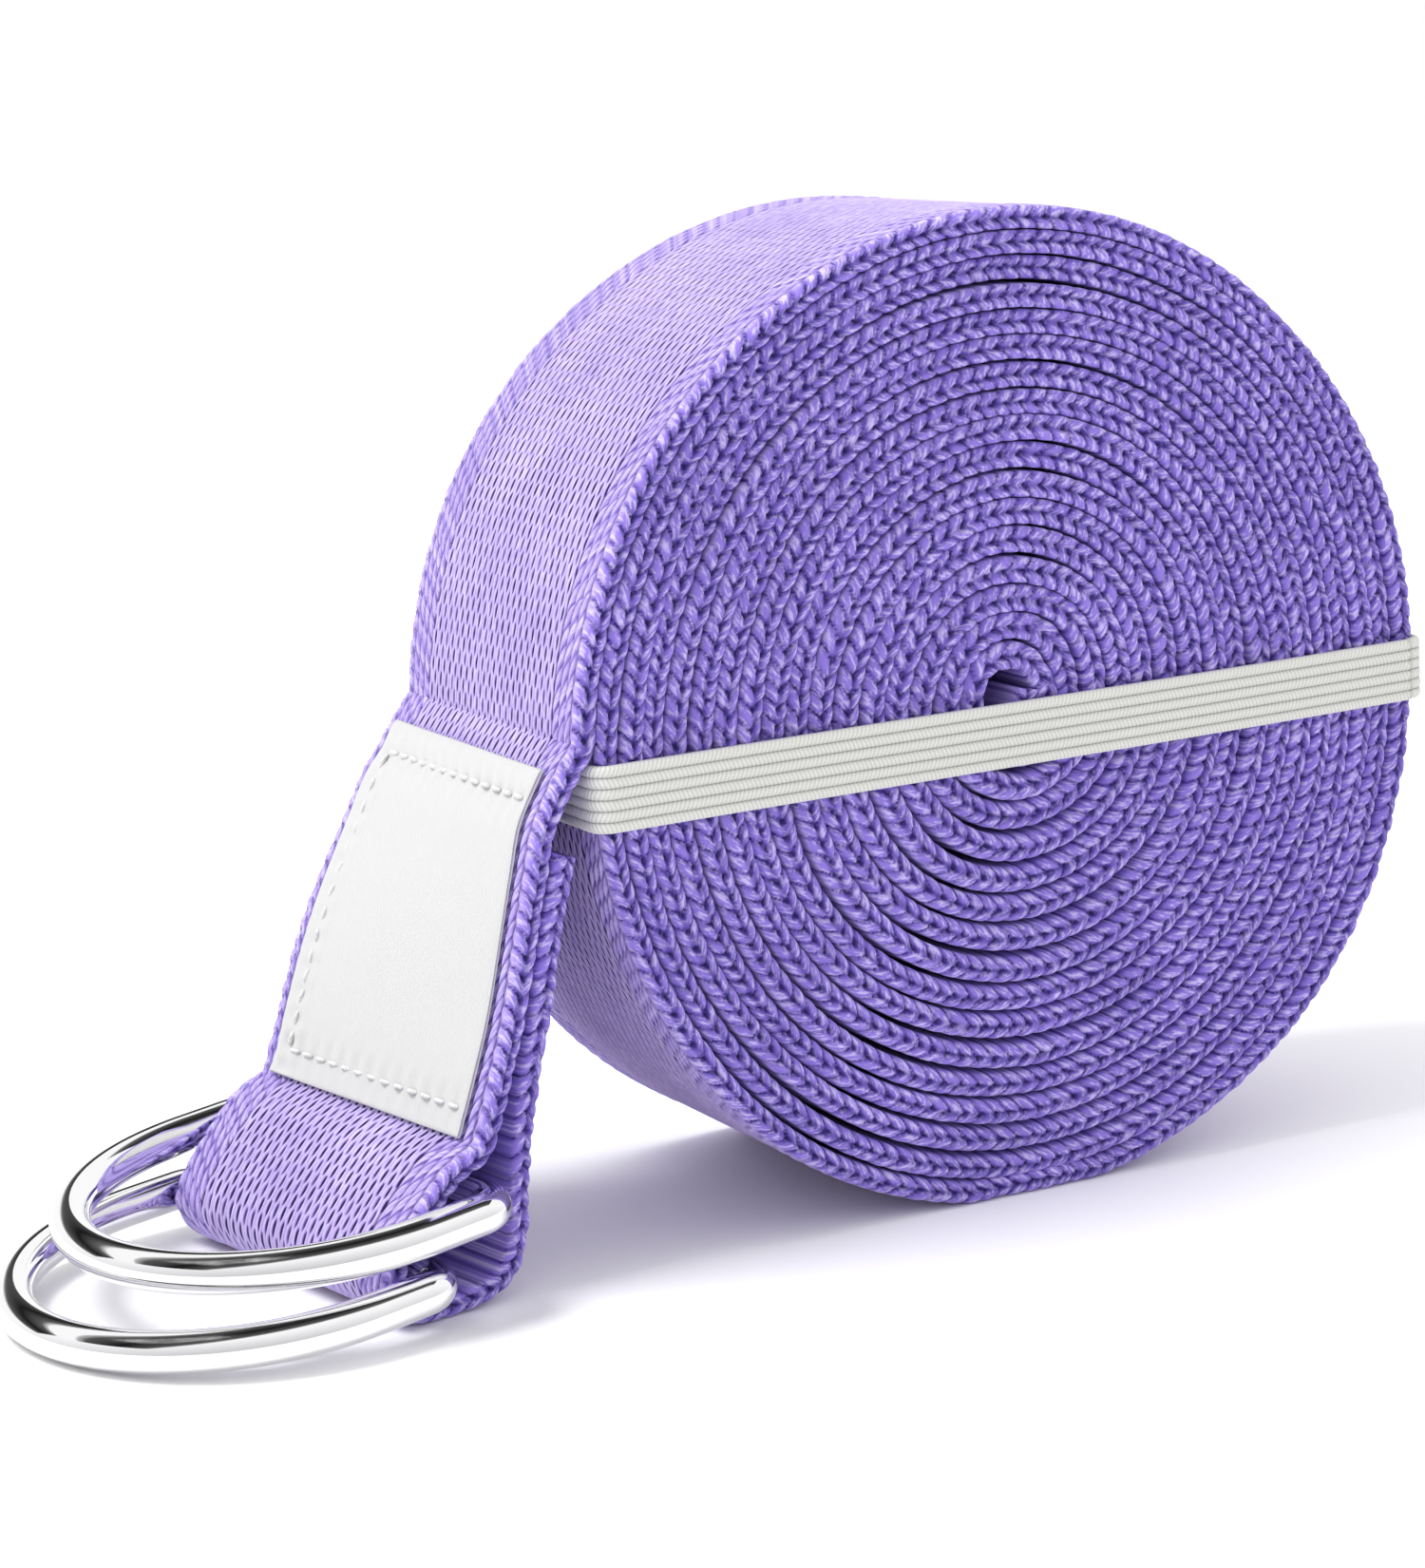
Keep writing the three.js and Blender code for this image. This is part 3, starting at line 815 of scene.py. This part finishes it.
def ring_mesh(name, bar, tilt):
    """One D-ring: a round wire along the outline, turned and tilted about its bar."""
    line = ring_outline()
    along = np.roll(line, -1, axis=0) - np.roll(line, 1, axis=0)
    along /= np.linalg.norm(along, axis=1, keepdims=True)
    side = np.column_stack([along[:, 1], -along[:, 0]])
    angle = np.arange(WIRE_SIDES) * 2 * np.pi / WIRE_SIDES
    flat = line[:, None, :] + WIRE_RADIUS * np.cos(angle)[None, :, None] * side[:, None, :]
    up = np.broadcast_to(WIRE_RADIUS * np.sin(angle), flat.shape[:2])
    points = np.dstack([flat, up]).reshape(-1, 3)
    grid = np.arange(len(points)).reshape(len(line), WIRE_SIDES)
    grid = np.vstack([grid, grid[:1]])
    grid = np.hstack([grid, grid[:, :1]])
    reach = bar[0] - TAIL_YAW_X
    place = Matrix.Translation((
        TAIL_YAW_X + reach * math.cos(TAIL_YAW),
        reach * math.sin(TAIL_YAW),
        bar[1],
    ))
    place = place @ Matrix.Rotation(TAIL_YAW, 4, "Z") @ Matrix.Rotation(-tilt, 4, "Y")
    turned = points @ np.array(place.to_3x3()).T + np.array(place.translation)
    return mesh_object(name, lift(turned), grid_quads(grid))


# ---- Elastic band ----

RIBS = 6
RIB_RELIEF = 0.16
BAND_CORNER = 2.1  # the ribbed elastic bends more softly than the CAD solid
BAND_ROWS = 73  # across the band
BAND_STEP = 0.4


def rounded_loop(left, right, half, corner, step):
    """A rounded rectangle in X-Y as points about step apart, with its outward directions."""
    turns = []
    for cx, cy, first in (
        (right - corner, -half + corner, -90),
        (right - corner, half - corner, 0),
        (left + corner, half - corner, 90),
        (left + corner, -half + corner, 180),
    ):
        angle = np.radians(first + np.linspace(0, 90, 12))
        normal = np.column_stack([np.cos(angle), np.sin(angle)])
        turns.append((np.array([cx, cy]) + corner * normal, normal))
    points = []
    normals = []
    for (arc, normal), (following, _) in zip(turns, turns[1:] + turns[:1], strict=True):
        count = max(2, int(np.linalg.norm(following[0] - arc[-1]) / step))
        share = np.linspace(0, 1, count, endpoint=False)[1:, None]
        points += [arc, arc[-1] + (following[0] - arc[-1]) * share]
        normals += [normal, np.repeat(normal[-1:], count - 1, axis=0)]
    return np.vstack(points), np.vstack(normals)


def band_mesh():
    """The elastic band: a flat loop round the roll, with ribs along its outside."""
    left = spiral(np.array([1.0]), 0)[0, 0] - BAND_GAP
    right = spiral(np.array([0.5]), 0)[0, 0] + BAND_GAP
    half = WEB_WIDTH / 2 + BAND_GAP
    line, normal = rounded_loop(
        left - BAND_THICK, right + BAND_THICK, half + BAND_THICK, BAND_CORNER, BAND_STEP
    )
    at = lengths(np.vstack([line, line[:1]]))[:-1]
    v = np.linspace(-1, 1, BAND_ROWS)
    rib = (v + 1) / 2 * RIBS
    outer = RIB_RELIEF * (hump(rib) - 1) - 0.18 * np.abs(v) ** 14
    wave = 0.12 * np.sin(at / 23)
    z = BAND_WIDTH / 2 * v
    top = np.dstack([
        line[:, None, 0] + normal[:, None, 0] * outer,
        line[:, None, 1] + normal[:, None, 1] * outer,
        wave[:, None] + 0 * outer + z,
    ])
    ends = np.array([1, 0.5, 0, -0.5, -1])
    under = np.dstack([
        line[:, None, 0] - normal[:, None, 0] * BAND_THICK + 0 * ends,
        line[:, None, 1] - normal[:, None, 1] * BAND_THICK + 0 * ends,
        wave[:, None] + BAND_WIDTH / 2 * ends,
    ])
    section = np.concatenate([top, under], axis=1)
    count = section.shape[1]
    points = section.reshape(-1, 3)
    grid = np.arange(len(points)).reshape(-1, count)
    grid = np.vstack([grid, grid[:1]])
    grid = np.hstack([grid, grid[:, :1]])
    place = Matrix.Translation((0, 0, -BAND_DROP)) @ Matrix.Rotation(-BAND_TILT, 4, "Y")
    turned = points @ np.array(place.to_3x3()).T + np.array(place.translation)
    made = mesh_object("band_elastic", lift(turned), grid_quads(grid))
    slant = np.where(np.floor(rib) % 2 == 0, rib % 1, 1 - rib % 1)
    # The shade that the elastic's material paints: 1 on the ribs' tops and at the band's edges, 0 in the
    # grooves.
    shade = np.clip(hump(rib), 0, 1)
    edge = np.abs(v) > 1 - 0.6 / RIBS
    shade = np.where(edge, 1, shade)
    far_round = at[:, None]
    top_cloth = np.dstack([far_round + 0 * v, slant + 0 * far_round, shade + 0 * far_round])
    # The loop's inside gets a little painted shade.
    plain = 0 * (far_round + ends)
    under_cloth = np.dstack([far_round + plain, ends + plain, 0.8 + plain])
    add_vectors(made, "cloth", np.concatenate([top_cloth, under_cloth], axis=1).reshape(-1, 3))
    return made


BAR_STITCHES = 9
BAR_WIDTH = 0.9
BAR_RINGS = 7
BAR_THREAD = 0.22


def band_stitch():
    """The bar of thread that closes the band's loop, at the back of the roll."""
    half = WEB_WIDTH / 2 + BAND_GAP + BAND_THICK
    angle = np.arange(CAPSULE_SIDES) * 2 * np.pi / CAPSULE_SIDES
    points = []
    quads = []
    ngons = []
    for i in range(BAR_STITCHES):
        z = BAND_WIDTH * 0.8 * ((i + 0.5) / BAR_STITCHES - 0.5)
        faces, caps = capsule_faces(len(points) * CAPSULE_SIDES, BAR_RINGS, True)
        quads.append(faces)
        ngons += caps
        for t in np.linspace(0, 1, BAR_RINGS):
            thick = BAR_THREAD * (0.4 + 0.6 * math.sin(math.pi * t) ** 0.5)
            x = (t - 0.5) * BAR_WIDTH + 0 * angle
            y = half + 0.08 + thick * np.cos(angle)
            points.append(np.column_stack([x, y, z - BAND_DROP + thick * np.sin(angle)]))
    return mesh_object("band_stitches", lift(np.vstack(points)), np.vstack(quads), ngons)


# ---- Camera, floor and light ----


# The camera was fitted to the roll, the tail and the rings.
CAMERA_YAW = math.radians(28.45)
CAMERA_PITCH = math.radians(11.57)
CAMERA_ROLL = math.radians(-2.127)
CAMERA_BACK = 386.17
CAMERA_ASIDE = 21.82
CAMERA_BELOW = 9.29
CAMERA_AIM_HEIGHT = 48.6
CAMERA_SENSOR = 36
CAMERA_LENS = 94.7208
FLOOR_SIZE = 30000


def add_camera():
    """The camera looks at the roll from its left front, a little from above."""
    sideways = math.cos(CAMERA_PITCH)
    back = Vector((
        -math.sin(CAMERA_YAW) * sideways,
        -math.cos(CAMERA_YAW) * sideways,
        math.sin(CAMERA_PITCH),
    ))
    right = (-back).cross(Vector((0, 0, 1))).normalized()
    up = right.cross(-back)
    turned_right = math.cos(CAMERA_ROLL) * right + math.sin(CAMERA_ROLL) * up
    turned_up = -math.sin(CAMERA_ROLL) * right + math.cos(CAMERA_ROLL) * up
    place = back * CAMERA_BACK - turned_right * CAMERA_ASIDE - turned_up * CAMERA_BELOW
    place = (place + Vector((0, 0, CAMERA_AIM_HEIGHT))) * MM
    data = bpy.data.cameras.new("camera")
    data.sensor_width = CAMERA_SENSOR
    data.sensor_fit = "HORIZONTAL"
    data.lens = CAMERA_LENS
    data.clip_start = 0.01
    data.clip_end = 100
    camera = bpy.data.objects.new("camera", data)
    rotation = Matrix((turned_right, turned_up, back)).transposed()
    camera.matrix_world = Matrix.Translation(place) @ rotation.to_4x4()
    bpy.context.scene.collection.objects.link(camera)
    bpy.context.scene.camera = camera


def add_floor():
    corners = np.array([[-1, -1, 0], [1, -1, 0], [1, 1, 0], [-1, 1, 0]], float)
    floor = mesh_object("floor", corners * FLOOR_SIZE, np.array([[0, 1, 2, 3]]))
    material, _, shader = new_material("floor", 0.6, Specular_IOR_Level=0.2)
    shader.inputs["Base Color"].default_value = (0.94, 0.94, 0.94, 1)
    floor.data.materials.append(material)


def add_card(name, corners):
    """A dark studio card with soft edges, which only reflections see."""
    card = mesh_object(name, np.array(corners) / MM, np.array([[0, 1, 2, 3]]))
    material, tree, shader = new_material(name, 1.0, Specular_IOR_Level=0.0)
    split = add_node(tree, "ShaderNodeSeparateXYZ")
    tree.links.new(add_node(tree, "ShaderNodeTexCoord").outputs["Generated"], split.inputs[0])
    middle = math_node(tree, "PINGPONG", split.outputs[2], 0.5)
    soft = ramp(tree, middle, (
        (0.0, (0.5, 0.5, 0.5)),
        (0.12, (0.08, 0.08, 0.08)),
        (0.5, (0.005, 0.005, 0.005)),
    ))
    tree.links.new(soft, shader.inputs["Base Color"])
    card.data.materials.append(material)
    card.visible_camera = False
    card.visible_diffuse = False
    card.visible_shadow = False


def add_area(name, place, target, size, energy):
    """A rectangular studio light. Places are in metres."""
    data = bpy.data.lights.new(name, "AREA")
    data.shape = "RECTANGLE"
    data.size = size[0]
    data.size_y = size[1]
    data.energy = energy
    light = bpy.data.objects.new(name, data)
    light.location = place
    direction = Vector(target) - Vector(place)
    light.rotation_mode = "QUATERNION"
    light.rotation_quaternion = direction.to_track_quat("-Z", "Y")
    bpy.context.scene.collection.objects.link(light)


WORLD_BRIGHT_SIDE = (0.15, 0.3, 0.5)
WORLD_STRENGTH = 1.1


def add_world():
    """White all round, and greyer towards the camera and the floor."""
    world = bpy.data.worlds.new("studio")
    bpy.context.scene.world = world
    world.use_nodes = True
    tree = world.node_tree
    where = add_node(tree, "ShaderNodeTexCoord").outputs["Generated"]
    side = add_node(tree, "ShaderNodeVectorMath", operation="DOT_PRODUCT")
    side.inputs[1].default_value = WORLD_BRIGHT_SIDE
    tree.links.new(where, side.inputs[0])
    glow = ramp(tree, math_node(tree, "ADD", side.outputs["Value"], 0.5), (
        (0.0, (0.5, 0.5, 0.51)),
        (0.45, (0.8, 0.8, 0.81)),
        (0.75, (1, 1, 1)),
    ))
    background = tree.nodes["Background"]
    tree.links.new(glow, background.inputs["Color"])
    background.inputs["Strength"].default_value = WORLD_STRENGTH


def add_lights():
    add_area("key", (-0.5, 0.1, 0.95), (0, 0, 0.05), (0.4, 0.4), 7.6)
    add_card("card_top", ((-1.4, -0.4, 0.85), (0.6, -0.4, 0.85), (0.6, 0.5, 0.75), (-1.4, 0.5, 0.75)))
    add_card("card_back", ((-1.2, 0.9, 0.28), (0.2, 0.9, 0.28), (0.2, 0.7, 0.62), (-1.2, 0.7, 0.62)))


# ---- Assembly ----

scene = bpy.context.scene
scene.view_settings.view_transform = "Standard"
add_camera()
add_world()
add_floor()
add_lights()

strap, strap_length = strap_mesh()
finish_piece(strap, webbing_material(), "webbing", "strap_roll", "strap_tail")
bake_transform(strap)

white = thread_material("white_thread", (0.66, 0.66, 0.655))
purple = thread_material("purple_thread", (0.30, 0.22, 0.66))
label = finish_piece(label_mesh(), satin_material(), "satin", "label")
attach(label, "tail")

LABEL_SEAM_END = 0.6  # from the label's near side
FAR_SEAM_OUT = 0.9
LOOP_STITCHES = 11
LOOP_STITCH_RISE = 0.12

near_end = -LABEL_WIDTH / 2 + LABEL_SEAM_END
far_end = LABEL_WIDTH / 2 - LABEL_SEAM_INSET + FAR_SEAM_OUT
top_seam = LABEL_START + LABEL_SEAM_INSET
bottom_seam = LABEL_START + LABEL_LENGTH - LABEL_SEAM_INSET
label_seams = {
    "label_thread_top": ((top_seam, near_end), (top_seam, far_end), 13),
    "label_thread_bottom": ((bottom_seam, near_end), (bottom_seam, far_end), 13),
    "label_thread_side": ((top_seam, far_end), (bottom_seam, far_end), 14),
}
label_stitches = []
for node, (start, end, count) in label_seams.items():
    row = stitch_row(node.replace("thread", "stitches"), (start, end), count, LABEL_BACK + LABEL_THICK)
    label_stitches.append(finish_piece(row, white, "white_thread", node))
loop_stitches = []
for node, inset in LOOP_SEAM_INSETS.items():
    at = TAIL_AT[-1] - inset
    ends = ((at, -LOOP_SEAM / 2), (at, LOOP_SEAM / 2))
    rise = WEB_THICK / 2 + LOOP_STITCH_RISE
    row = stitch_row(node.replace("thread", "stitches"), ends, LOOP_STITCHES, rise)
    loop_stitches.append(finish_piece(row, purple, "purple_thread", node))
for row in label_stitches + loop_stitches:
    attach(row, "tail")

chrome = chrome_material()
for side, bar, tilt in (("upper", UPPER_BAR, UPPER_TILT), ("lower", LOWER_BAR, LOWER_TILT)):
    ring = finish_piece(ring_mesh(f"d_ring_{side}", bar, tilt), chrome, "ring_chrome", f"ring_{side}")
    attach(ring, f"{side}_ring")

elastic = elastic_material()
band = finish_piece(band_mesh(), elastic, "elastic", "elastic_band")
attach(band, "band")
band_bar = finish_piece(band_stitch(), elastic, "elastic", "band_thread")
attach(band_bar, "band")
